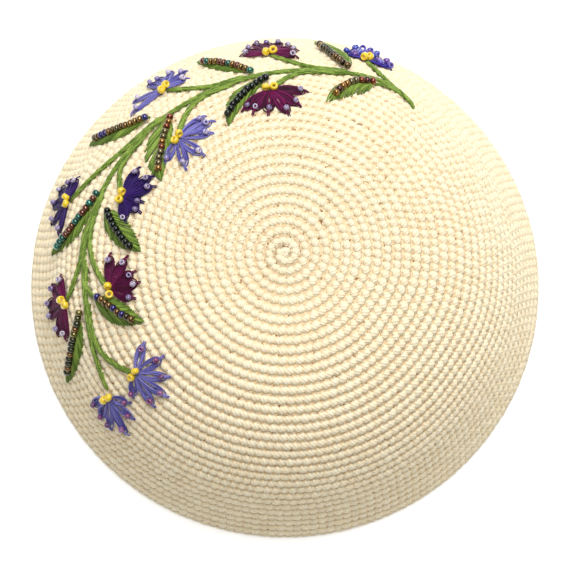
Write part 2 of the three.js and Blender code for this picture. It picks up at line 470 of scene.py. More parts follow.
@dataclass
class Copies:
    """Points on the cloth, each of which gets one stitch or bead."""

    spots: list[Vector] = field(default_factory=list)
    facings: list[Vector] = field(default_factory=list)
    headings: list[Vector] = field(default_factory=list)
    sizes: list[float] = field(default_factory=list)
    tints: list[Paint] = field(default_factory=list)

    def add(
        self, spot: Vector, facing: Vector, heading: Vector, size: float, tint: Paint
    ) -> None:
        """Adds one copy.

        Args:
            spot: Where it sits.
            facing: Where its own upright axis points.
            heading: Where its own forward axis points.
            size: Its scale.
            tint: Its colour.
        """
        self.spots.append(spot)
        self.facings.append(facing)
        self.headings.append(heading)
        self.sizes.append(size)
        self.tints.append(tint)

    def mesh(self, name: str) -> bpy.types.Mesh:
        """Makes the mesh of loose points with an attribute for each setting."""
        mesh = bpy.data.meshes.new(name)
        mesh.from_pydata(self.spots, [], [])
        for label, vectors in ((NORMAL, self.facings), (OUTWARD, self.headings)):
            held = mesh.attributes.new(label, "FLOAT_VECTOR", "POINT")
            held.data.foreach_set("vector", [value for one in vectors for value in one])
        held = mesh.attributes.new(SIZE, "FLOAT", "POINT")
        held.data.foreach_set("value", self.sizes)
        held = mesh.attributes.new(TINT, "FLOAT_COLOR", "POINT")
        held.data.foreach_set("color", [value for one in self.tints for value in one])
        return mesh


@dataclass
class Strands:
    """Lines of thread over the cloth, each point with its thickness, tone and lift."""

    cloth: Cloth
    points: list[Vector] = field(default_factory=list)
    links: list[tuple[int, int]] = field(default_factory=list)
    thicks: list[float] = field(default_factory=list)
    tones: list[float] = field(default_factory=list)
    alongs: list[float] = field(default_factory=list)
    crests: list[float] = field(default_factory=list)

    def add(
        self, path: Sequence[tuple[Place, float]], thick: float, tone: float, top: float
    ) -> None:
        """Adds one thread.

        Args:
            path: The places it passes and its height over the cloth at each.
            thick: Its radius.
            tone: Where it stands between the thread's deep and light colours.
            top: The height at which it counts as fully lifted.
        """
        along = 0.0
        previous = None
        for place, over in path:
            point = self.cloth.point(place, over)
            if previous is not None:
                self.links.append((len(self.points) - 1, len(self.points)))
                along += (point - previous).length / MM
            previous = point
            self.points.append(point)
            self.thicks.append(thick)
            self.tones.append(tone)
            self.alongs.append(along)
            # The lift drives the floss finish's painted shade where the thread dips into the cloth
            self.crests.append(min(max(over / top, 0.0), 1.0))

    def mesh(self, name: str) -> bpy.types.Mesh:
        """Makes the mesh of lines with an attribute for each setting."""
        mesh = bpy.data.meshes.new(name)
        mesh.from_pydata(self.points, self.links, [])
        rows = ((THICK, self.thicks), (TONE, self.tones), (ALONG, self.alongs), (CREST, self.crests))
        for label, values in rows:
            held = mesh.attributes.new(label, "FLOAT", "POINT")
            held.data.foreach_set("value", values)
        return mesh


@dataclass(frozen=True)
class Ring:
    """One cross section of a lobe of yarn: its middle, and its half width and half height."""

    middle: tuple[float, float, float]
    wide: float
    high: float


@dataclass
class Knot:
    """The mesh of one stitch, made of bent lobes of yarn."""

    sides: int
    low: float
    high: float
    corners: list[Vector] = field(default_factory=list)
    faces: list[tuple[int, ...]] = field(default_factory=list)
    chart: list[tuple[float, float]] = field(default_factory=list)

    def lobe(self, rings: Sequence[Ring]) -> None:
        """Adds one lobe of yarn through its rings."""
        path = [Vector(ring.middle) for ring in rings]
        first = len(self.corners)
        along = [0.0]
        for start, end in zip(path, path[1:]):
            along.append(along[-1] + (end - start).length)
        for step, middle in enumerate(path):
            ahead = path[min(step + 1, len(path) - 1)] - path[max(step - 1, 0)]
            side = ahead.cross(Vector((0.0, 0.0, 1.0))).normalized()
            rise = side.cross(ahead).normalized()
            for corner in range(self.sides):
                turn = math.tau * corner / self.sides
                arm = side * rings[step].wide * math.cos(turn)
                arm += rise * rings[step].high * math.sin(turn)
                self.corners.append(middle + arm)
        for step in range(len(path) - 1):
            for corner in range(self.sides):
                after = (corner + 1) % self.sides
                low = first + step * self.sides
                high = low + self.sides
                self.faces.append((low + corner, low + after, high + after, high + corner))
                near, far = corner / self.sides, (corner + 1) / self.sides
                start, end = along[step], along[step + 1]
                self.chart += [(near, start), (far, start), (far, end), (near, end)]
        last = first + (len(path) - 1) * self.sides
        self.faces.append(tuple(first + corner for corner in reversed(range(self.sides))))
        self.faces.append(tuple(last + corner for corner in range(self.sides)))
        self.chart += [(0.0, along[0])] * self.sides + [(0.0, along[-1])] * self.sides

    def pattern(self, name: str) -> bpy.types.Object:
        """Makes the stitch as an object that a rule can copy, sized in metres."""
        mesh = bpy.data.meshes.new(name)
        mesh.from_pydata([corner * MM for corner in self.corners], [], self.faces)
        mesh.uv_layers.new(name=PLY)
        mesh.uv_layers[PLY].data.foreach_set("uv", [v for pair in self.chart for v in pair])
        # Each corner's height within the stitch, which the cotton finish turns into painted shade low down
        held = mesh.attributes.new(CREST, "FLOAT", "POINT")
        span = self.high - self.low
        held.data.foreach_set("value", [(corner.z - self.low) / span for corner in self.corners])
        holder = bpy.data.objects.new(name, mesh)
        bpy.context.scene.collection.objects.link(holder)
        return holder


@dataclass(frozen=True)
class BeadShape:
    """A round seed bead with a hole along its own upright axis."""

    width: float
    length: float
    hole: float
    around: int = 12
    across: int = 6

    def pattern(self, name: str) -> bpy.types.Object:
        """Makes the bead as an object that a rule can copy, sized in metres."""
        middle = (self.width + self.hole) / 4.0
        wall = (self.width - self.hole) / 4.0
        corners, faces = [], []
        for ray in range(self.around):
            turn = math.tau * ray / self.around
            for step in range(self.across):
                tilt = math.tau * step / self.across
                out = (middle + wall * math.cos(tilt)) * MM
                up = self.length / 2.0 * math.sin(tilt) * MM
                corners.append((out * math.cos(turn), out * math.sin(turn), up))
                after = (ray + 1) % self.around
                further = (step + 1) % self.across
                faces.append(
                    (
                        ray * self.across + step,
                        after * self.across + step,
                        after * self.across + further,
                        ray * self.across + further,
                    )
                )
        mesh = bpy.data.meshes.new(name)
        mesh.from_pydata(corners, [], faces)
        holder = bpy.data.objects.new(name, mesh)
        bpy.context.scene.collection.objects.link(holder)
        return holder


def drop_pattern(pattern: bpy.types.Object) -> None:
    """Removes a pattern once its copies are made."""
    mesh = pattern.data
    bpy.data.objects.remove(pattern)
    bpy.data.meshes.remove(mesh)


def hand_over(
    name: str, mesh: bpy.types.Mesh, stands_for: Iterable[str] = ()
) -> bpy.types.Object:
    """Makes a finished mesh a piece of the cap.

    Args:
        name: The piece's name.
        mesh: Its mesh, with its place in it.
        stands_for: The solids that it replaces.

    Returns:
        The piece.
    """
    piece = bpy.data.objects.new(name, mesh)
    bpy.context.scene.collection.objects.link(piece)
    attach(piece, BODY)
    nodes = tuple(stands_for)
    if nodes:
        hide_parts(*nodes)
    mesh.calc_loop_triangles()
    LOG.info("%s: %d triangles", name, len(mesh.loop_triangles))
    return piece


# Finishes


class PlyGroup:
    """Shader group for twisted thread: ridges of plies around it, and fibre fuzz."""

    name = "twisted_ply"

    def __init__(self) -> None:
        """Builds the group once."""
        self.tree = bpy.data.node_groups.new(self.name, "ShaderNodeTree")
        face = self.tree.interface
        for label in ("Around", "Along", "Plies", "Lay", "Fuzz Scale"):
            face.new_socket(label, in_out="INPUT", socket_type="NodeSocketFloat")
        for label in ("Ridge", "Fuzz"):
            face.new_socket(label, in_out="OUTPUT", socket_type="NodeSocketFloat")
        sketch = Sketch(self.tree)
        given = sketch.add("NodeGroupInput")
        wound = sketch.math("MULTIPLY", given.outputs["Around"], given.outputs["Plies"])
        laid = sketch.math("DIVIDE", given.outputs["Along"], given.outputs["Lay"])
        phase = sketch.math("MULTIPLY", sketch.math("ADD", wound, laid), math.tau)
        wave = sketch.math("MULTIPLY_ADD", sketch.math("SINE", phase), 1.0 / 2.0)
        wave.node.inputs[2].default_value = 1.0 / 2.0
        place = sketch.add("ShaderNodeTexCoord")
        noise = sketch.add("ShaderNodeTexNoise")
        sketch.feed(noise.inputs["Vector"], place.outputs["Object"])
        sketch.feed(noise.inputs["Scale"], given.outputs["Fuzz Scale"])
        out = sketch.add("NodeGroupOutput")
        sketch.feed(out.inputs["Ridge"], wave)
        sketch.feed(out.inputs["Fuzz"], noise.outputs[0])

    def place(
        self, sketch: Sketch, around: Socket, along: Socket, plies: float, lay: float, fuzz: float
    ) -> bpy.types.Node:
        """Puts the group in a material.

        Args:
            sketch: The material's tree.
            around: Share of the way around the thread.
            along: Millimetres along the thread.
            plies: Ridges around the thread.
            lay: Millimetres along the thread for one turn of a ridge.
            fuzz: Scale of the fibre fuzz.

        Returns:
            The group's node.
        """
        node = sketch.add("ShaderNodeGroup", node_tree=self.tree)
        sketch.feed(node.inputs["Around"], around)
        sketch.feed(node.inputs["Along"], along)
        sketch.feed(node.inputs["Plies"], plies)
        sketch.feed(node.inputs["Lay"], lay)
        sketch.feed(node.inputs["Fuzz Scale"], fuzz)
        return node


def new_material(name: str) -> tuple[bpy.types.Material, Sketch, bpy.types.Node]:
    """Makes a material and gives it with its sketch and its shader."""
    material = bpy.data.materials.new(name)
    material.use_nodes = True
    return material, Sketch(material.node_tree), material.node_tree.nodes["Principled BSDF"]


def raise_bump(
    sketch: Sketch, shader: bpy.types.Node, ply: bpy.types.Node, fuzz_share: float, depth: float
) -> None:
    """Feeds a thread's ridges and fuzz to the shader's normal.

    Args:
        sketch: The material's tree.
        shader: Its shader.
        ply: The ply group's node.
        fuzz_share: How much of the relief is fuzz.
        depth: Height of the relief.
    """
    fuzz = sketch.math("MULTIPLY", ply.outputs["Fuzz"], fuzz_share)
    ridge = sketch.math("MULTIPLY", ply.outputs["Ridge"], 1.0 - fuzz_share)
    bump = sketch.add("ShaderNodeBump")
    sketch.feed(bump.inputs["Strength"], 1.0)
    sketch.feed(bump.inputs["Distance"], depth * MM)
    sketch.feed(bump.inputs["Height"], sketch.math("ADD", fuzz, ridge))
    sketch.feed(shader.inputs["Normal"], bump.outputs["Normal"])


@dataclass(frozen=True)
class CottonFinish:
    """Matte cream cotton yarn, with painted shade: tan where it dips between stitches and darker in its ply
    furrows.
    """

    name: str = "cream_cotton"
    light: Paint = paint(251, 239, 208)
    warm: Paint = paint(248, 232, 197)
    # Painted shade: the tan crevice colour stands in for shade low in each stitch, between crest_low and
    # crest_high of its height, and ridge_shade darkens the ply furrows
    crevice_shade: Paint = paint(241, 213, 171)
    crest_low: float = 0.1
    crest_high: float = 0.58
    ridge_shade: float = 0.1
    roughness: float = 0.92
    sheen: float = 0.15
    plies: float = 3.0
    lay: float = 0.85
    fuzz_scale: float = 1500.0
    fuzz_share: float = 0.5
    relief: float = 0.22
    fleck: Paint = paint(150, 108, 66)
    fleck_scale: float = 800.0
    fleck_low: float = 0.6
    fleck_high: float = 0.7

    def material(self, ply: PlyGroup) -> bpy.types.Material:
        """Builds the material."""
        material, sketch, shader = new_material(self.name)
        chart = sketch.add("ShaderNodeUVMap", uv_map=PLY)
        parts = sketch.add("ShaderNodeSeparateXYZ")
        sketch.feed(parts.inputs[0], chart.outputs["UV"])
        wound = ply.place(
            sketch, parts.outputs["X"], parts.outputs["Y"], self.plies, self.lay, self.fuzz_scale
        )
        cream = sketch.mix(sketch.attribute(TONE).outputs["Fac"], self.light, self.warm)
        # Painted shade: the colour turns tan low in each stitch and darker in the ply furrows
        crest = sketch.attribute(CREST).outputs["Fac"]
        lifted = sketch.spread(crest, self.crest_low, self.crest_high)
        furrow = sketch.math("SUBTRACT", 1.0, wound.outputs["Ridge"])
        painted_ply_shade = sketch.math("MULTIPLY", furrow, self.ridge_shade)
        shown = sketch.math("SUBTRACT", lifted, painted_ply_shade)
        held = sketch.math("MAXIMUM", shown, 0.0)
        yarn = sketch.mix(held, self.crevice_shade, cream)
        place = sketch.add("ShaderNodeTexCoord")
        noise = sketch.add("ShaderNodeTexNoise")
        sketch.feed(noise.inputs["Vector"], place.outputs["Object"])
        sketch.feed(noise.inputs["Scale"], self.fleck_scale)
        speck = sketch.spread(noise.outputs[0], self.fleck_low, self.fleck_high)
        fleck = sketch.math("MULTIPLY", speck, sketch.math("SUBTRACT", 1.0, held))
        sketch.feed(shader.inputs["Base Color"], sketch.mix(fleck, yarn, self.fleck))
        shader.inputs["Roughness"].default_value = self.roughness
        shader.inputs["Sheen Weight"].default_value = self.sheen
        raise_bump(sketch, shader, wound, self.fuzz_share, self.relief)
        return material


class Thread(Enum):
    """The floss colours, by the record's slot."""

    GREEN = "green_thread"
    BURGUNDY = "burgundy_thread"
    LAVENDER = "lavender_thread"
    INDIGO = "indigo_thread"
    ROYAL = "royal_thread"


@dataclass(frozen=True)
class FlossFinish:
    """Embroidery floss with a soft sheen, with painted shade: deeper where it dips into the cloth and in
    its ply furrows.
    """

    thread: Thread
    deep: Paint
    light: Paint
    # Painted shade: where the thread dips into the cloth, and in its ply furrows, the colour is mixed
    # towards the deep colour
    lift_low: float = 0.05
    lift_high: float = 0.8
    sunk_shade_share: float = 0.45
    roughness: float = 0.6
    sheen: float = 0.04
    specular: float = 0.2
    plies: float = 2.0
    lay: float = 0.9
    fuzz_scale: float = 2600.0
    fuzz_share: float = 0.3
    relief: float = 0.07

    def material(self, ply: PlyGroup) -> bpy.types.Material:
        """Builds the material."""
        material, sketch, shader = new_material(f"{self.thread.value}_floss")
        wound = ply.place(
            sketch,
            sketch.attribute(AROUND).outputs["Fac"],
            sketch.attribute(ALONG).outputs["Fac"],
            self.plies,
            self.lay,
            self.fuzz_scale,
        )
        floss = sketch.mix(sketch.attribute(TONE).outputs["Fac"], self.deep, self.light)
        # Painted shade: darker where the strand dips into the cloth and in its ply furrows
        lift = sketch.attribute(CREST).outputs["Fac"]
        lifted = sketch.spread(lift, self.lift_low, self.lift_high)
        held = sketch.math("MULTIPLY_ADD", lifted, 1.0 - self.sunk_shade_share)
        held.node.inputs[2].default_value = self.sunk_shade_share
        ridged = sketch.math("MULTIPLY_ADD", wound.outputs["Ridge"], 1.0 - self.sunk_shade_share)
        ridged.node.inputs[2].default_value = self.sunk_shade_share
        share = sketch.math("MULTIPLY", held, ridged)
        sketch.feed(shader.inputs["Base Color"], sketch.mix(share, self.deep, floss))
        shader.inputs["Roughness"].default_value = self.roughness
        shader.inputs["Sheen Weight"].default_value = self.sheen
        shader.inputs["Specular IOR Level"].default_value = self.specular
        raise_bump(sketch, shader, wound, self.fuzz_share, self.relief)
        return material


# Each floss varies at random between its deep and light colours; the deep colour is also painted shade
# where a strand dips and in its ply furrows
FLOSSES = (
    FlossFinish(Thread.GREEN, paint(62, 92, 12), paint(182, 210, 98)),
    FlossFinish(Thread.BURGUNDY, paint(48, 0, 30), paint(140, 14, 96)),
    FlossFinish(Thread.LAVENDER, paint(64, 58, 146), paint(170, 166, 236)),
    FlossFinish(Thread.INDIGO, paint(24, 4, 62), paint(68, 36, 130)),
    FlossFinish(Thread.ROYAL, paint(34, 22, 110), paint(88, 78, 190)),
)


class Glass(Enum):
    """The kinds of bead, by the record's slot."""

    YELLOW = "yellow_glass"
    BRONZE = "bronze_glass"
    VIOLET = "violet_glass"


@dataclass(frozen=True)
class GlassFinish:
    """Glossy bead glass in each bead's own tint."""

    glass: Glass
    metallic: float
    roughness: float
    coat: float = 0.8
    coat_roughness: float = 0.06
    streak_scale: float = 900.0
    streak_share: float = 0.12
    streak: Paint = paint(255, 250, 235)

    def material(self) -> bpy.types.Material:
        """Builds the material."""
        material, sketch, shader = new_material(f"{self.glass.value}_bead")
        tint = sketch.attribute(TINT).outputs["Color"]
        place = sketch.add("ShaderNodeTexCoord")
        noise = sketch.add("ShaderNodeTexNoise")
        sketch.feed(noise.inputs["Vector"], place.outputs["Object"])
        sketch.feed(noise.inputs["Scale"], self.streak_scale)
        share = sketch.math("MULTIPLY", noise.outputs[0], self.streak_share)
        sketch.feed(shader.inputs["Base Color"], sketch.mix(share, tint, self.streak))
        shader.inputs["Metallic"].default_value = self.metallic
        shader.inputs["Roughness"].default_value = self.roughness
        shader.inputs["Coat Weight"].default_value = self.coat
        shader.inputs["Coat Roughness"].default_value = self.coat_roughness
        return material


GLASSES = (
    GlassFinish(Glass.YELLOW, 0.0, 0.25, streak_share=0.04),
    GlassFinish(Glass.BRONZE, 0.75, 0.15, coat=0.7, streak_share=0.01),
    GlassFinish(Glass.VIOLET, 0.1, 0.18, streak_share=0.05),
)


@dataclass(frozen=True)
class FloorFinish:
    """Pale matte studio paper."""

    name: str = "studio_paper"
    pale: Paint = paint(250, 250, 250)
    fibre: Paint = paint(247, 247, 246)
    fibre_scale: float = 300.0
    roughness: float = 0.9
    glow: float = 0.26

    def material(self) -> bpy.types.Material:
        """Builds the material."""
        material, sketch, shader = new_material(self.name)
        place = sketch.add("ShaderNodeTexCoord")
        noise = sketch.add("ShaderNodeTexNoise")
        sketch.feed(noise.inputs["Vector"], place.outputs["Object"])
        sketch.feed(noise.inputs["Scale"], self.fibre_scale)
        sketch.feed(
            shader.inputs["Base Color"], sketch.mix(noise.outputs[0], self.pale, self.fibre)
        )
        shader.inputs["Roughness"].default_value = self.roughness
        shader.inputs["Emission Color"].default_value = self.pale
        shader.inputs["Emission Strength"].default_value = self.glow
        return material


@dataclass
class Workshop:
    """The rules and materials that every sub-assembly shares."""

    cloth: Cloth
    scatter: ScatterRule
    threads: ThreadRule
    cotton: bpy.types.Material
    flosses: dict[Thread, bpy.types.Material]
    glasses: dict[Glass, bpy.types.Material]
    sides: int = 5
    bead_spread: float = 0.06

    @classmethod
    def open(cls) -> "Workshop":
        """Builds the rules and materials."""
        ply = PlyGroup()
        return cls(
            cloth=Cloth(),
            scatter=ScatterRule(),
            threads=ThreadRule(),
            cotton=CottonFinish().material(ply),
            flosses={finish.thread: finish.material(ply) for finish in FLOSSES},
            glasses={finish.glass: finish.material() for finish in GLASSES},
        )

    def sew(self, name: str, strands: Strands, thread: Thread, node: str) -> bpy.types.Object:
        """Makes threads of the lines and puts them in place of a solid.

        Args:
            name: The piece's name.
            strands: Its lines.
            thread: The floss it is sewn with.
            node: The solid that it replaces.

        Returns:
            The piece.
        """
        mesh = self.threads.make(
            name, strands.mesh(name), Sides=self.sides, Finish=self.flosses[thread]
        )
        return hand_over(name, mesh, [node])

    def string(self, name: str, copies: Copies, shape: BeadShape, glass: Glass) -> bpy.types.Object:
        """Sets a bead on each point.

        Args:
            name: The piece's name.
            copies: The beads' places and tints.
            shape: The bead.
            glass: Its kind.

        Returns:
            The piece.
        """
        pattern = shape.pattern(f"{name}_pattern")
        mesh = self.scatter.make(
            name,
            copies.mesh(name),
            Pattern=pattern,
            Finish=self.glasses[glass],
            Twist=0.0,
            Spread=self.bead_spread,
            Seed=len(copies.spots),
        )
        drop_pattern(pattern)
        return hand_over(name, mesh)


# The crocheted crown


@dataclass
class Crown:
    """The crocheted cap: a spiral of rounds over a thin cloth, with an edge of loops at its rim."""

    shop: Workshop
    rounds: int = 33
    stitch_pitch: float = 2.8
    first_turn: float = 0.02
    start_azimuth: float = -9.0
    last_from_rim: float = 3.6
    jog: float = 0.07
    tightest: float = 0.9
    bud_size: float = 0.88
    bud_crowding: float = 0.55
    bud_reach: float = 8.0
    top_cloth: float = 0.6
    top_reach: float = 45.0
    stitch_sunk: float = 0.95
    twist: float = 0.17
    spread: float = 0.09
    seed: int = 41
    sides: int = 6
    low_sides: int = 5
    cloth_outer: float = 0.82
    cloth_inner: float = 1.7
    cloth_rays: int = 128
    cloth_steps: int = 44
    cloth_from_rim: float = 0.9
    inside_sunk: float = 2.0
    edge_from_rim: float = 1.55
    edge_sunk: float = 0.9
    edge_pitch: float = 2.9
    flat_width: float = 0.228
    flat_area: float = 0.0363
    zones: tuple[tuple[str, float], ...] = (("top", 62.0), ("shoulder", 92.0), ("rim", 114.0))
    stitch_span: tuple[float, float] = (-0.6, 1.1)
    stitch_lobe: tuple[Ring, ...] = (
        Ring((-1.62, -0.45, -0.36), 0.8, 0.6),
        Ring((-0.95, -0.25, 0.1), 1.3, 0.9),
        Ring((-0.1, 0.0, 0.27), 1.48, 0.98),
        Ring((0.8, 0.23, 0.14), 1.34, 0.92),
        Ring((1.58, 0.45, -0.34), 0.84, 0.62),
    )
    stitch_leg: tuple[Ring, ...] = (
        Ring((-0.85, -2.2, -0.6), 0.5, 0.45),
        Ring((-0.7, -1.6, -0.25), 0.66, 0.55),
        Ring((-0.5, -0.9, 0.1), 0.7, 0.6),
    )
    inside_span: tuple[float, float] = (-0.8, 0.9)
    inside_bar: tuple[Ring, ...] = (
        Ring((-1.9, -0.45, -0.6), 0.7, 0.45),
        Ring((-0.9, -0.2, 0.1), 1.15, 0.75),
        Ring((0.3, 0.1, 0.2), 1.25, 0.8),
        Ring((1.2, 0.35, 0.0), 1.15, 0.75),
        Ring((2.0, 0.5, -0.6), 0.7, 0.45),
    )
    edge_span: tuple[float, float] = (-1.1, 0.75)
    edge_loop: tuple[Ring, ...] = (
        Ring((-2.3, 0.1, -0.35), 0.4, 0.4),
        Ring((-1.2, -0.15, 0.1), 0.68, 0.68),
        Ring((0.1, -0.1, 0.2), 0.72, 0.72),
        Ring((1.3, 0.15, 0.05), 0.66, 0.66),
        Ring((2.2, 0.3, -0.4), 0.4, 0.4),
    )

    def stitch_places(self) -> list[Place]:
        """Steps along the spiral, which settles into closed rounds towards the rim."""
        cloth = self.shop.cloth
        pitch = (cloth.arc - self.last_from_rim) / self.rounds
        places = []
        turns = self.first_turn
        while turns < self.rounds + 1.0:
            whole = math.floor(turns)
            part = turns - whole
            settled = min(whole / self.rounds, 1.0)
            rise = ease((part - 1.0 + self.jog) / self.jog)
            if whole == self.rounds:
                rise = 0.0
            distance = pitch * (whole + blend(part, rise, settled))
            places.append(Place(self.start_azimuth + FULL_TURN * part, distance))
            radius = max(cloth.section(distance)[0], self.tightest)
            crowding = blend(self.bud_crowding, 1.0, ease(distance / self.bud_reach))
            step = self.stitch_pitch * self.stitch_size(distance) * crowding
            turns += step / (math.tau * radius)
        return places

    def stitch_size(self, distance: float) -> float:
        """Gives the size of the stitches at a distance, which are small in the bud at the centre."""
        return blend(self.bud_size, 1.0, ease(distance / self.bud_reach))

    def pattern(
        self, name: str, sides: int, span: tuple[float, float], *lobes: tuple[Ring, ...]
    ) -> bpy.types.Object:
        """Makes the pattern of one kind of stitch.

        Args:
            name: The pattern's name.
            sides: Corners around each lobe.
            span: The heights where it counts as fully sunk and fully lifted.
            lobes: The lobes of yarn that it is made of.

        Returns:
            The pattern.
        """
        knot = Knot(sides, *span)
        for lobe in lobes:
            knot.lobe(lobe)
        return knot.pattern(name)

    def copies(self, places: Iterable[Place], over: float, inward: bool = False) -> Copies:
        """Turns places into stitch points at one height over the cloth.

        Args:
            places: Where the stitches sit.
            over: Their height over the cloth's outer face.
            inward: Whether they face into the cap.

        Returns:
            The points.
        """
        made = Copies()
        white = (1.0, 1.0, 1.0, 1.0)
        for place in places:
            outward, normal = self.shop.cloth.axes(place)
            facing = -normal if inward else normal
            size = self.stitch_size(place.distance)
            made.add(self.shop.cloth.point(place, over), facing, outward, size, white)
        return made

    def crochet(
        self, name: str, copies: Copies, pattern: bpy.types.Object, seed: int
    ) -> bpy.types.Object:
        """Sets a stitch on each point and hands the piece over.

        Args:
            name: The piece's name.
            copies: The points.
            pattern: The stitch.
            seed: The chance of each stitch's turn, size and tone.

        Returns:
            The piece.
        """
        mesh = self.shop.scatter.make(
            name,
            copies.mesh(name),
            Pattern=pattern,
            Finish=self.shop.cotton,
            Twist=self.twist,
            Spread=self.spread,
            Seed=seed,
        )
        return hand_over(name, mesh)

    def cloth_mesh(self) -> bpy.types.Mesh:
        """Makes the thin closed cloth that the stitches sit on."""
        cloth = self.shop.cloth
        reach = cloth.arc - self.cloth_from_rim
        corners, faces = [], []
        outer = (self.top_cloth, self.cloth_outer)
        inner = (self.cloth_inner, self.cloth_inner)
        for centre, depth in (outer, inner):
            corners.append(cloth.point(Place(0.0, 0.0), -centre))
            for step in range(1, self.cloth_steps + 1):
                distance = reach * step / self.cloth_steps
                over = -blend(centre, depth, ease(distance / self.top_reach))
                for ray in range(self.cloth_rays):
                    azimuth = FULL_TURN * ray / self.cloth_rays
                    corners.append(cloth.point(Place(azimuth, distance), over))
        layer = 1 + self.cloth_steps * self.cloth_rays
        for ray in range(self.cloth_rays):
            after = (ray + 1) % self.cloth_rays
            faces.append((0, 1 + ray, 1 + after))
            faces.append((layer, layer + 1 + after, layer + 1 + ray))
            for step in range(self.cloth_steps - 1):
                near = 1 + step * self.cloth_rays
                far = near + self.cloth_rays
                faces.append((near + ray, far + ray, far + after, near + after))
                near += layer
                far += layer
                faces.append((near + after, far + after, far + ray, near + ray))
            rim = 1 + (self.cloth_steps - 1) * self.cloth_rays
            faces.append((rim + ray, layer + rim + ray, layer + rim + after, rim + after))
        mesh = bpy.data.meshes.new("crown_cloth")
        mesh.from_pydata(corners, [], faces)
        mesh.uv_layers.new(name=PLY)
        # The cloth has no crest attribute, so the cotton finish colours all of it in the tan crevice
        # colour: painted shade where it shows between the stitches
        mesh.materials.append(self.shop.cotton)
        mesh.polygons.foreach_set("use_smooth", [True] * len(mesh.polygons))
        return mesh

    def build(self) -> None:
        """Makes the cloth, its rounds outside and inside, and the edge."""
        cloth = hand_over("crown_cloth", self.cloth_mesh(), ["crown"])
        places = self.stitch_places()
        seed = self.seed
        pattern = self.pattern(
            "stitch_pattern", self.sides, self.stitch_span, self.stitch_lobe, self.stitch_leg
        )
        start = 0.0
        for label, end in self.zones:
            inside = [place for place in places if start <= place.distance < end]
            copies = self.copies(inside, -self.stitch_sunk)
            self.crochet(f"crown_rounds_{label}", copies, pattern, seed)
            start = end
            seed += 1
        drop_pattern(pattern)
        pattern = self.pattern("bar_pattern", self.low_sides, self.inside_span, self.inside_bar)
        copies = self.copies(places, -self.inside_sunk, inward=True)
        self.crochet("crown_inside", copies, pattern, seed)
        drop_pattern(pattern)
        pattern = self.pattern("edge_pattern", self.low_sides, self.edge_span, self.edge_loop)
        rim = self.shop.cloth.arc - self.edge_from_rim
        count = round(math.tau * self.shop.cloth.section(rim)[0] / self.edge_pitch)
        ring = [Place(FULL_TURN * step / count, rim) for step in range(count)]
        copies = self.copies(ring, -self.edge_sunk)
        self.crochet("crown_edge", copies, pattern, seed + 1)
        drop_pattern(pattern)


# The garland


@dataclass(frozen=True)
class LeafPlan:
    """One leaf: base, tip, bow and half widths, its beads and their row, and where its stalk joins."""

    base: Place
    tip: Place
    bow: float
    left: float
    right: float
    beads: str
    row: tuple[Place, Place, Place]
    joins: float | None = None


LEAF_PLANS = (
    LeafPlan(
        Place(72.4, 78.0), Place(83.0, 105.7), -2.0, 5.0, 2.0, "bronze",
        row=(Place(73.1, 76.7), Place(77.6, 83.2), Place(81.5, 94.1)),
    ),
    LeafPlan(
        Place(63.9, 73.5), Place(75.5, 55.6), -2.0, 4.5, 2.0, "copper",
        row=(Place(64.7, 72.5), Place(69.7, 67.8), Place(73.3, 59.4)),
        joins=56.0,
    ),
    LeafPlan(
        Place(99.5, 69.6), Place(112.1, 94.9), 2.0, 3.0, 2.0, "teal",
        row=(Place(100.1, 69.1), Place(105.7, 77.4), Place(111.0, 86.4)),
    ),
    LeafPlan(
        Place(96.0, 64.4), Place(113.0, 47.7), -1.0, 2.0, 4.0, "dark",
        row=(Place(96.1, 63.9), Place(105.3, 56.9), Place(111.3, 51.4)),
    ),
    LeafPlan(
        Place(132.2, 71.2), Place(145.7, 96.5), 2.0, 4.5, 2.0, "violet",
        row=(Place(133.2, 71.6), Place(139.2, 78.8), Place(144.2, 90.2)),
    ),
    LeafPlan(
        Place(128.1, 63.5), Place(148.1, 48.2), 0.0, 3.0, 6.0, "copper",
        row=(Place(128.3, 62.8), Place(136.2, 56.5), Place(144.8, 50.8)),
    ),
    LeafPlan(
        Place(160.7, 70.9), Place(175.2, 92.9), 2.0, 5.0, 2.0, "teal",
        row=(Place(159.4, 69.8), Place(166.9, 75.1), Place(173.9, 85.3)),
    ),
    LeafPlan(
        Place(163.7, 64.2), Place(178.1, 47.3), 0.0, 4.0, 4.0, "dark",
        row=(Place(164.4, 62.1), Place(169.8, 57.1), Place(176.2, 50.9)),
    ),
    LeafPlan(
        Place(190.7, 66.7), Place(205.1, 51.3), 0.0, 3.5, 4.0, "violet",
        row=(Place(191.1, 64.6), Place(196.1, 59.8), Place(202.3, 54.4)),
        joins=184.0,
    ),
    LeafPlan(
        Place(193.2, 75.0), Place(206.1, 99.7), 2.0, 4.5, 2.0, "olive",
        row=(Place(193.4, 74.2), Place(199.6, 82.3), Place(204.6, 92.7)),
    ),
)


@dataclass(frozen=True)
class FlowerPlan:
    """One fan flower: its floss, eye, petals by heading and length, beads, and where it joins.

    The pair is the heading of the line through the two beads in its eye. Each petal has a bead at
    each of the given shares of its length.
    """

    thread: Thread
    eye: Place
    pair: float
    tips: str
    petals: tuple[tuple[float, float], ...]
    joins: float | None = None
    bead_shares: tuple[float, ...] = (0.78,)
    bead_scale: float = 1.0


@dataclass(frozen=True)
class PetalStyle:
    """How a petal is filled: the sizes of its nested loops and its half width."""

    nests: tuple[float, ...]
    half_width: float


OPEN_PETAL = PetalStyle(nests=(1.0, 0.72, 0.4), half_width=2.0)
FULL_PETAL = PetalStyle(nests=(1.0, 0.8, 0.6, 0.4, 0.2), half_width=2.4)


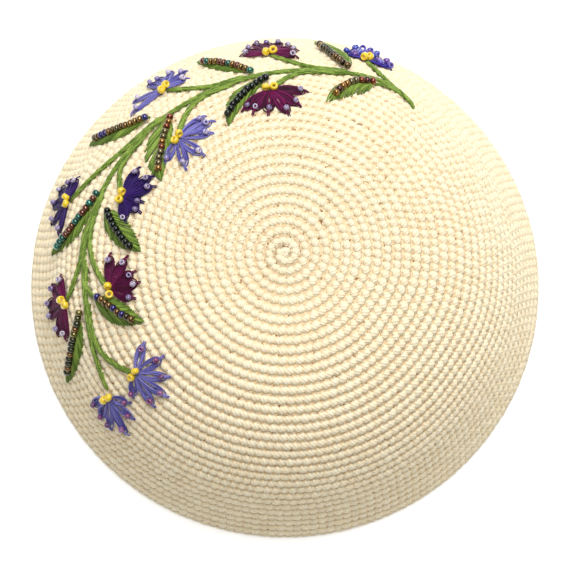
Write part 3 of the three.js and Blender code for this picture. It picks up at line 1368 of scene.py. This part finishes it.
FLOWER_PLANS = (
    FlowerPlan(
        Thread.ROYAL, Place(69.6, 91.5), -31.0, "cobalt",
        ((67, 9.0), (27, 14.5), (13, 17.0), (3, 17.5), (-7, 17.0), (-34, 12.5), (-61, 10.4)),
        joins=56.0,
        bead_shares=(0.5, 0.86),
        bead_scale=1.25,
    ),
    FlowerPlan(
        Thread.BURGUNDY, Place(94.0, 81.2), -64.0, "lilac",
        ((65, 11.2), (38, 14.5), (14, 20.5), (2, 19.5), (-12, 20.0), (-34, 14.5), (-60, 11.8), (-100, 9.8)),
        joins=76.0,
    ),
    FlowerPlan(
        Thread.BURGUNDY, Place(95.0, 58.5), -88.0, "lilac",
        ((-91, 12.8), (-127, 12.5), (-154, 12.9), (173, 10.9), (145, 11.4), (126, 12.5)),
        joins=78.0,
    ),
    FlowerPlan(
        Thread.LAVENDER, Place(123.5, 80.0), 127.0, "pearl",
        ((-86, 9.1), (-50, 14.0), (-21, 20.0), (-6, 20.0), (4, 21.0), (43, 15.5), (79, 14.5)),
        joins=106.0,
    ),
    FlowerPlan(
        Thread.LAVENDER, Place(131.5, 53.6), 112.0, "pearl",
        ((-80, 12.5), (-97, 13.3), (-122, 11.8), (-169, 11.8), (153, 12.0), (108, 9.8)),
        joins=110.0,
    ),
    FlowerPlan(
        Thread.INDIGO, Place(162.0, 86.2), 122.0, "lilac",
        ((-79, 10.0), (-48, 12.5), (-21, 18.0), (-1, 17.5), (30, 14.5), (77, 12.1)),
        joins=134.0,
    ),
    FlowerPlan(
        Thread.INDIGO, Place(158.7, 58.6), 97.0, "lilac",
        ((-90, 11.7), (-127, 12.4), (-147, 11.9), (-179, 8.5), (158, 9.6), (118, 9.5)),
        joins=142.0,
    ),
    FlowerPlan(
        Thread.BURGUNDY, Place(189.0, 81.5), 130.0, "lilac",
        ((-73, 10.9), (-40, 13.8), (-11, 17.0), (5, 17.0), (36, 15.0), (61, 13.6)),
        joins=173.0,
    ),
    FlowerPlan(
        Thread.BURGUNDY, Place(190.3, 59.4), 90.0, "lilac",
        ((-92, 12.6), (-127, 12.3), (-158, 11.0), (180, 11.4), (149, 9.7)),
        joins=163.0,
    ),
    FlowerPlan(
        Thread.LAVENDER, Place(217.4, 63.9), 11.0, "plum",
        ((-149, 11.2), (170, 12.2), (135, 12.3), (101, 13.5), (72, 13.2), (34, 9.6)),
        joins=195.0,
    ),
    FlowerPlan(
        Thread.LAVENDER, Place(216.8, 80.0), 169.0, "plum",
        ((133, 9.1), (100, 11.6), (63, 15.0), (32, 14.7), (11, 13.5), (-15, 12.1)),
    ),
)


@dataclass
class Vine:
    """The stem-stitched vine and the stalks that leave it."""

    shop: Workshop
    course: tuple[Place, ...] = (
        Place(50.8, 74.0),
        Place(60.9, 78.1),
        Place(74.9, 72.9),
        Place(92.0, 68.2),
        Place(118.1, 65.7),
        Place(145.2, 67.4),
        Place(172.2, 70.5),
        Place(192.2, 71.6),
        Place(215.2, 78.3),
    )
    halvings: int = 24
    samples: int = 160
    stalk_samples: int = 24
    lead: float = 5.0
    lead_samples: int = 8
    lead_aside: float = 1.2
    stitch_length: float = 5.6
    stitch_step: float = 2.7
    slant: float = 0.4
    lean_range: tuple[float, float] = (0.8, 1.3)
    tone_range: tuple[float, float] = (0.15, 1.0)
    stagger: float = 0.5
    end_width: float = 0.45
    lift_power: float = 0.7
    rounding: float = 0.14
    strands: int = 6
    strand_gap: float = 0.29
    radius: float = 0.22
    crest: float = 1.05
    dip: float = 0.15
    seed: int = 7
    points: int = 6

    def on_course(self, share: float) -> Place:
        """Gives the place at a share of the course, on a smooth curve through its places."""
        last = len(self.course) - 1
        spot = share * last
        step = min(math.floor(spot), last - 1)
        part = spot - step
        four = [self.course[min(max(step + offset, 0), last)] for offset in (-1, 0, 1, 2)]

        def smooth(values: Sequence[float]) -> float:
            """Follows the curve through the second and third of four values."""
            before, start, end, after = values
            leave = (end - before) / 2.0
            arrive = (after - start) / 2.0
            cubic = 2.0 * start - 2.0 * end + leave + arrive
            square = -3.0 * start + 3.0 * end - 2.0 * leave - arrive
            return ((cubic * part + square) * part + leave) * part + start

        azimuth = smooth([place.azimuth for place in four])
        return Place(azimuth, smooth([place.distance for place in four]))

    def at(self, azimuth: float) -> Place:
        """Gives the vine's place at an azimuth."""
        low, high = 0.0, 1.0
        for _ in range(self.halvings):
            middle = (low + high) / 2.0
            if self.on_course(middle).azimuth < azimuth:
                low = middle
            else:
                high = middle
        return self.on_course(low)

    def stalk(self, end: Place, joins: float) -> Route:
        """Makes a stalk that first runs beside the vine and then bends off to its motif.

        Args:
            end: Where the motif starts.
            joins: The azimuth where the stalk leaves the vine.

        Returns:
            The stalk's route.
        """
        cloth = self.shop.cloth
        start = self.at(joins)
        bend = self.at((joins + end.azimuth) / 2.0)
        first = joins - self.lead
        samples = self.lead_samples if first - self.lead > self.course[0].azimuth else 0
        outside = end.distance > start.distance
        aside = (-self.lead_aside if outside else self.lead_aside) if samples else 0.0
        places = []
        for step in range(samples):
            share = step / samples
            beside = self.at(blend(first, joins, share))
            places.append(cloth.shifted(beside, QUARTER_TURN, 0.0, aside * ease(2.0 * share)))
        for step in range(self.stalk_samples + 1):
            share = step / self.stalk_samples
            weights = ((1.0 - share) ** 2, 2.0 * share * (1.0 - share), share**2)
            azimuth = sum(w * p.azimuth for w, p in zip(weights, (start, bend, end)))
            distance = sum(w * p.distance for w, p in zip(weights, (start, bend, end)))
            place = Place(azimuth, distance)
            places.append(cloth.shifted(place, QUARTER_TURN, 0.0, aside * (1.0 - ease(2.0 * share))))
        return Route(cloth, places)

    def stem_stitch(self, strands: Strands, route: Route, draw: random.Random) -> None:
        """Covers a route with slanted stitches that overlap like a rope.

        Args:
            strands: The vine's lines so far.
            route: The route.
            draw: The chance of each strand's lean, tone and shift.
        """
        cloth = self.shop.cloth
        count = max(2, round((route.length - self.stitch_length) / self.stitch_step) + 1)
        for stitch in range(count):
            start = (route.length - self.stitch_length) * stitch / (count - 1)
            lean = self.slant * draw.uniform(*self.lean_range)
            for strand in range(self.strands):
                place_in_row = strand - (self.strands - 1) / 2.0
                tone = draw.uniform(*self.tone_range)
                shift = draw.uniform(-self.stagger, self.stagger)
                path = []
                for step in range(self.points):
                    share = step / (self.points - 1)
                    along = min(max(start + shift + share * self.stitch_length, 0.0), route.length)
                    place, heading = route.at(along)
                    narrow = blend(self.end_width, 1.0, math.sin(math.pi * share))
                    aside = place_in_row * self.strand_gap * narrow + blend(lean, -lean, share)
                    lift = math.sin(math.pi * share) ** self.lift_power
                    crown = 1.0 - self.rounding * abs(place_in_row)
                    over = blend(self.dip, self.crest * crown, lift) - self.radius * (1.0 - lift)
                    path.append((cloth.shifted(place, heading, 0.0, aside), over))
                strands.add(path, self.radius, tone, self.crest)

    def build(self) -> None:
        """Sews the vine and every stalk."""
        draw = random.Random(self.seed)
        strands = Strands(self.shop.cloth)
        course = [self.on_course(step / self.samples) for step in range(self.samples + 1)]
        self.stem_stitch(strands, Route(self.shop.cloth, course), draw)
        ends = [(plan.eye, plan.joins) for plan in FLOWER_PLANS]
        ends += [(plan.base, plan.joins) for plan in LEAF_PLANS]
        for end, joins in ends:
            if joins is not None:
                self.stem_stitch(strands, self.stalk(end, joins), draw)
        self.shop.sew("vine_stitches", strands, Thread.GREEN, "vine")


BEAD_MIXES: dict[str, tuple[Paint, ...]] = {
    "bronze": (paint(104, 76, 30), paint(66, 48, 24), paint(140, 112, 52), paint(58, 62, 40)),
    "copper": (paint(128, 58, 18), paint(152, 108, 40), paint(74, 36, 18), paint(116, 104, 66)),
    "teal": (paint(52, 122, 106), paint(128, 100, 36), paint(38, 96, 84), paint(112, 62, 42)),
    "dark": (paint(10, 24, 18), paint(20, 34, 22), paint(6, 12, 12)),
    "olive": (paint(122, 112, 56), paint(84, 80, 38), paint(130, 92, 46), paint(58, 60, 36)),
    "violet": (
        paint(108, 80, 34), paint(66, 54, 30), paint(140, 108, 50), paint(94, 82, 46),
        paint(122, 90, 40), paint(52, 44, 26), paint(58, 50, 116),
    ),
}


@dataclass
class Leaves:
    """The leaves: long slanted stitches on both sides of a row of seed beads."""

    shop: Workshop
    strand_step: float = 0.42
    radius: float = 0.23
    reach: float = 0.34
    skew: float = 0.85
    fullness: float = 0.8
    last_root: float = 0.8
    root_shift: float = 0.01
    reach_range: tuple[float, float] = (0.85, 1.25)
    width_range: tuple[float, float] = (0.86, 1.1)
    bend_power: float = 1.15
    first_lift: float = 0.3
    lift_power: float = 0.8
    crest: float = 1.1
    edge_lift: float = 0.1
    deepest: float = 0.4
    points: int = 6
    bead: BeadShape = BeadShape(width=2.6, length=1.95, hole=0.9)
    bead_pitch: float = 2.0
    bead_over: float = 1.75
    bead_turn: float = 14.0
    bead_shift: float = 0.18
    row_samples: int = 12
    seed: int = 19

    def midrib(self, plan: LeafPlan, share: float) -> Place:
        """Gives the place at a share of the midrib."""
        azimuth = blend(plan.base.azimuth, plan.tip.azimuth, share)
        straight = Place(azimuth, blend(plan.base.distance, plan.tip.distance, share))
        heading = self.shop.cloth.bearing(plan.base, plan.tip)[0]
        bow = plan.bow * math.sin(math.pi * min(max(share, 0.0), 1.0))
        return self.shop.cloth.shifted(straight, heading, 0.0, bow)

    def swell(self, share: float) -> float:
        """Gives the share of the half width at a share of the midrib."""
        held = min(max(share, 0.0), 1.0)
        return max(math.sin(math.pi * held**self.skew), 0.0) ** self.fullness

    def stitch_leaf(self, strands: Strands, plan: LeafPlan, draw: random.Random) -> None:
        """Sews one leaf's stitches on both sides of its midrib.

        Args:
            strands: The leaf's lines.
            plan: The leaf.
            draw: The chance of each strand's length, tone and depth.
        """
        cloth = self.shop.cloth
        heading, length = cloth.bearing(plan.base, plan.tip)
        count = round(length * (1.0 + self.reach) / self.strand_step)
        for half in (plan.left, -plan.right):
            for strand in range(count):
                root = blend(-self.reach / 2.0, self.last_root, strand / (count - 1))
                start = max(root, 0.0) + draw.uniform(-self.root_shift, self.root_shift)
                end = min(root + self.reach * draw.uniform(*self.reach_range), 1.0)
                wide = half * self.swell(end) * draw.uniform(*self.width_range)
                tone = draw.uniform(0.0, 1.0)
                sunk = draw.uniform(0.0, self.deepest)
                path = []
                for step in range(self.points):
                    share = step / (self.points - 1)
                    place = self.midrib(plan, blend(start, end, share))
                    aside = wide * share**self.bend_power
                    lift = math.sin(math.pi * blend(self.first_lift, 1.0, share)) ** self.lift_power
                    over = blend(self.edge_lift, self.crest - sunk, lift)
                    path.append((cloth.shifted(place, heading, 0.0, aside), over))
                strands.add(path, self.radius, tone, self.crest)

    def on_row(self, plan: LeafPlan, share: float) -> Place:
        """Gives the place at a share of a leaf's row of beads, on a curve through its three places."""
        weights = (
            (1.0 - share) * (1.0 - 2.0 * share),
            4.0 * share * (1.0 - share),
            share * (2.0 * share - 1.0),
        )
        azimuth = sum(weight * place.azimuth for weight, place in zip(weights, plan.row))
        return Place(azimuth, sum(weight * place.distance for weight, place in zip(weights, plan.row)))

    def string_leaf(self, copies: Copies, plan: LeafPlan, draw: random.Random) -> None:
        """Lays one leaf's row of beads.

        Args:
            copies: The beads so far.
            plan: The leaf.
            draw: The chance of each bead's turn, place and tint.
        """
        cloth = self.shop.cloth
        places = [self.on_row(plan, step / self.row_samples) for step in range(self.row_samples + 1)]
        route = Route(cloth, places)
        count = round(route.length / self.bead_pitch) + 1
        for bead in range(count):
            place, heading = route.at(route.length * bead / (count - 1))
            heading += draw.uniform(-self.bead_turn, self.bead_turn)
            aside = draw.uniform(-self.bead_shift, self.bead_shift)
            spot = cloth.point(cloth.shifted(place, heading, 0.0, aside), self.bead_over)
            tint = draw.choice(BEAD_MIXES[plan.beads])
            copies.add(spot, cloth.direction(place, heading), cloth.axes(place)[1], 1.0, tint)

    def build(self) -> None:
        """Sews each leaf and strings all the leaf beads."""
        draw = random.Random(self.seed)
        copies = Copies()
        for number, plan in enumerate(LEAF_PLANS, start=1):
            strands = Strands(self.shop.cloth)
            self.stitch_leaf(strands, plan, draw)
            self.shop.sew(f"leaf_{number:02d}_stitches", strands, Thread.GREEN, f"leaf_{number:02d}")
            self.string_leaf(copies, plan, draw)
        self.shop.string("leaf_beads", copies, self.bead, Glass.BRONZE)


TIP_MIXES: dict[str, tuple[Paint, ...]] = {
    "cobalt": (paint(34, 50, 170), paint(70, 54, 170), paint(100, 60, 150)),
    "lilac": (paint(150, 134, 172), paint(122, 104, 150), paint(176, 164, 190)),
    "pearl": (paint(172, 162, 202), paint(146, 134, 186), paint(202, 192, 214)),
    "plum": (paint(126, 46, 108), paint(94, 36, 96), paint(146, 88, 146)),
}

YELLOW = paint(240, 204, 16)


@dataclass
class Flowers:
    """The fan flowers: looped petals, a pair of yellow beads in the eye, a bead near each tip."""

    shop: Workshop
    radius: float = 0.23
    start: float = 1.0
    crest: float = 1.1
    deepest: float = 0.42
    tip_lift: float = 0.45
    points: int = 18
    shoulder: float = 0.4
    shortest: float = 0.7
    nest_lift: float = 0.12
    pair_spread: float = 0.055
    petal_lean: float = 1.6
    anchor_back: float = 1.6
    anchor_out: float = 2.2
    anchor_gap: float = 0.28
    anchor_tone: float = 0.3
    anchor_heights: tuple[tuple[float, float], ...] = ((0.0, 0.5), (0.35, 1.05), (0.7, 0.75), (1.0, -0.1))
    eye_bead: BeadShape = BeadShape(width=2.9, length=2.1, hole=1.0)
    eye_gap: float = 1.35
    eye_over: float = 2.1
    eye_stands: tuple[tuple[float, float], ...] = ((0.0, 0.3), (0.4, 0.9))
    tip_bead: BeadShape = BeadShape(width=2.0, length=1.5, hole=0.7)
    tip_over: float = 1.45
    tip_aside: float = 0.4
    tip_stands: tuple[float, float] = (0.1, 0.9)
    seed: int = 29

    def style(self, plan: FlowerPlan) -> PetalStyle:
        """Gives the way a flower's petals are filled."""
        return OPEN_PETAL if plan.thread is Thread.LAVENDER else FULL_PETAL

    def loop(self, strands: Strands, plan: FlowerPlan, heading: float, length: float,
             nest: float, draw: random.Random) -> None:
        """Sews one loop of a petal.

        Args:
            strands: The flower's lines.
            plan: The flower.
            heading: The petal's heading.
            length: The petal's length from the eye.
            nest: The loop's size beside the petal's outer loop.
            draw: The chance of its tone and of how deep it lies.
        """
        cloth = self.shop.cloth
        sunk = draw.uniform(0.0, self.deepest)
        wide = self.style(plan).half_width * nest
        reach = (length - self.anchor_out) * blend(self.shortest, 1.0, nest) - self.start
        path = []
        for step in range(self.points + 1):
            turn = math.tau * step / self.points
            out = (1.0 - math.cos(turn)) / 2.0
            aside = wide * math.sin(turn) * out**self.shoulder
            lift = blend(self.crest, self.tip_lift, out**2)
            place = cloth.shifted(plan.eye, heading, self.start + reach * out, aside)
            path.append((place, lift + self.nest_lift * (1.0 - nest) - sunk))
        strands.add(path, self.radius, draw.uniform(0.0, 1.0), self.crest)

    def petal(self, strands: Strands, plan: FlowerPlan, heading: float, length: float,
              draw: random.Random) -> None:
        """Sews one petal: nested loops and the small stitch that holds them at the tip.

        Args:
            strands: The flower's lines.
            plan: The flower.
            heading: The petal's heading.
            length: The petal's length from the eye.
            draw: The chance of each loop's lean, tone and depth.
        """
        cloth = self.shop.cloth
        for nest in self.style(plan).nests:
            for pair in (-1.0, 1.0):
                spare = 1.0 + self.pair_spread * pair
                lean = heading + draw.uniform(-self.petal_lean, self.petal_lean)
                self.loop(strands, plan, lean, length * spare, nest * spare, draw)
        for pair in (-self.anchor_gap, self.anchor_gap):
            path = []
            for share, over in self.anchor_heights:
                along = length - self.anchor_out + blend(-self.anchor_back, self.anchor_out, share)
                path.append((cloth.shifted(plan.eye, heading, along, pair), over))
            strands.add(path, self.radius, draw.uniform(self.anchor_tone, 1.0), self.crest)

    def place_bead(self, copies: Copies, place: Place, over: float, tint: Paint,
                   draw: random.Random, stand: float, scale: float = 1.0) -> None:
        """Lays one bead with its hole turned by chance.

        Args:
            copies: The beads so far.
            place: Where it lies.
            over: Height of its middle over the cloth.
            tint: Its colour.
            draw: The chance.
            stand: How far its hole tilts out of the cloth, from 0, flat, to 1, upright.
            scale: Its size beside the others of its kind.
        """
        cloth = self.shop.cloth
        normal = cloth.axes(place)[1]
        flat = cloth.direction(place, draw.uniform(0.0, FULL_TURN))
        axis = (flat * (1.0 - stand) + normal * stand).normalized()
        side = axis.cross(normal.cross(flat)).normalized()
        copies.add(cloth.point(place, over), axis, side, scale, tint)

    def build(self) -> None:
        """Sews each flower and sets its beads."""
        cloth = self.shop.cloth
        draw = random.Random(self.seed)
        eyes, tips = Copies(), Copies()
        for number, plan in enumerate(FLOWER_PLANS, start=1):
            strands = Strands(cloth)
            for heading, length in plan.petals:
                self.petal(strands, plan, heading, length, draw)
                for share in plan.bead_shares:
                    aside = draw.uniform(-self.tip_aside, self.tip_aside)
                    spot = cloth.shifted(plan.eye, heading, length * share, aside)
                    tint = draw.choice(TIP_MIXES[plan.tips])
                    stand = draw.uniform(*self.tip_stands)
                    self.place_bead(tips, spot, self.tip_over, tint, draw, stand, plan.bead_scale)
            node = f"flower_{number:02d}"
            self.shop.sew(f"{node}_stitches", strands, plan.thread, node)
            stands = [draw.uniform(*stand_range) for stand_range in self.eye_stands]
            for side, stand in zip((-1.0, 1.0), stands):
                spot = cloth.shifted(plan.eye, plan.pair, side * self.eye_gap, 0.0)
                self.place_bead(eyes, spot, self.eye_over, YELLOW, draw, stand)
        self.shop.string("flower_eye_beads", eyes, self.eye_bead, Glass.YELLOW)
        self.shop.string("petal_beads", tips, self.tip_bead, Glass.VIOLET)


# The studio


@dataclass(frozen=True)
class Lamp:
    """One soft light: where it hangs, what it points at, how wide and how strong it is."""

    name: str
    spot: tuple[float, float, float]
    size: float
    power: float
    aim: tuple[float, float, float] = (0.0, 0.0, 0.02)

    def hang(self) -> None:
        """Makes the light."""
        data = bpy.data.lights.new(self.name, "AREA")
        data.shape = "DISK"
        data.size = self.size
        data.energy = self.power
        lamp = bpy.data.objects.new(self.name, data)
        lamp.location = self.spot
        toward = Vector(self.aim) - Vector(self.spot)
        lamp.rotation_mode = "QUATERNION"
        lamp.rotation_quaternion = toward.to_track_quat("-Z", "Y")
        bpy.context.scene.collection.objects.link(lamp)


@dataclass
class Studio:
    """The pale floor, the soft lights and the camera of the photograph."""

    floor_half: float = 3.0
    floor_cuts: int = 6
    camera_distance: float = 1.25
    camera_elevation: float = 79.44
    camera_lens: float = 233.8
    sensor: float = 36.0
    sky: Paint = (1.0, 1.0, 1.0, 1.0)
    sky_strength: float = 0.22
    view_transform: str = "Standard"
    lamps: tuple[Lamp, ...] = (
        Lamp("key_light", (0.2, 1.2, 1.6), 1.4, 24.0),
        Lamp("top_light", (0.1, 0.3, 2.0), 1.6, 25.0),
    )

    def floor(self) -> None:
        """Lays the floor."""
        mesh = bpy.data.meshes.new("studio_floor")
        side = self.floor_cuts + 1
        step = 2.0 * self.floor_half / self.floor_cuts
        corners = [
            (-self.floor_half + step * column, -self.floor_half + step * row, 0.0)
            for row in range(side)
            for column in range(side)
        ]
        faces = [
            (low, low + 1, low + side + 1, low + side)
            for row in range(self.floor_cuts)
            for low in range(row * side, row * side + self.floor_cuts)
        ]
        mesh.from_pydata(corners, [], faces)
        mesh.materials.append(FloorFinish().material())
        floor = bpy.data.objects.new("studio_floor", mesh)
        bpy.context.scene.collection.objects.link(floor)

    def world(self) -> None:
        """Makes the even light from all around."""
        world = bpy.data.worlds.new("studio_sky")
        world.use_nodes = True
        sky = world.node_tree.nodes["Background"]
        sky.inputs["Color"].default_value = self.sky
        sky.inputs["Strength"].default_value = self.sky_strength
        bpy.context.scene.world = world

    def camera(self) -> None:
        """Sets up the camera at the photograph's angle."""
        data = bpy.data.cameras.new("photo_camera")
        data.sensor_width = self.sensor
        data.lens = self.camera_lens
        camera = bpy.data.objects.new("photo_camera", data)
        tilt = math.radians(self.camera_elevation)
        back = Vector((0.0, -math.cos(tilt), math.sin(tilt)))
        camera.location = back * self.camera_distance
        camera.rotation_mode = "QUATERNION"
        camera.rotation_quaternion = (-back).to_track_quat("-Z", "Y")
        bpy.context.scene.collection.objects.link(camera)
        bpy.context.scene.camera = camera

    def build(self) -> None:
        """Sets up the whole studio."""
        self.camera()
        self.floor()
        self.world()
        for lamp in self.lamps:
            lamp.hang()
        bpy.context.scene.view_settings.view_transform = self.view_transform


def main() -> None:
    """Builds the studio and then the cap, piece by piece."""
    logging.basicConfig(level=logging.INFO, format="%(name)s %(message)s")
    Studio().build()
    shop = Workshop.open()
    for part in (Crown(shop), Vine(shop), Leaves(shop), Flowers(shop)):
        part.build()
        LOG.info("%s is done", type(part).__name__)


if __name__ == "__main__":
    main()
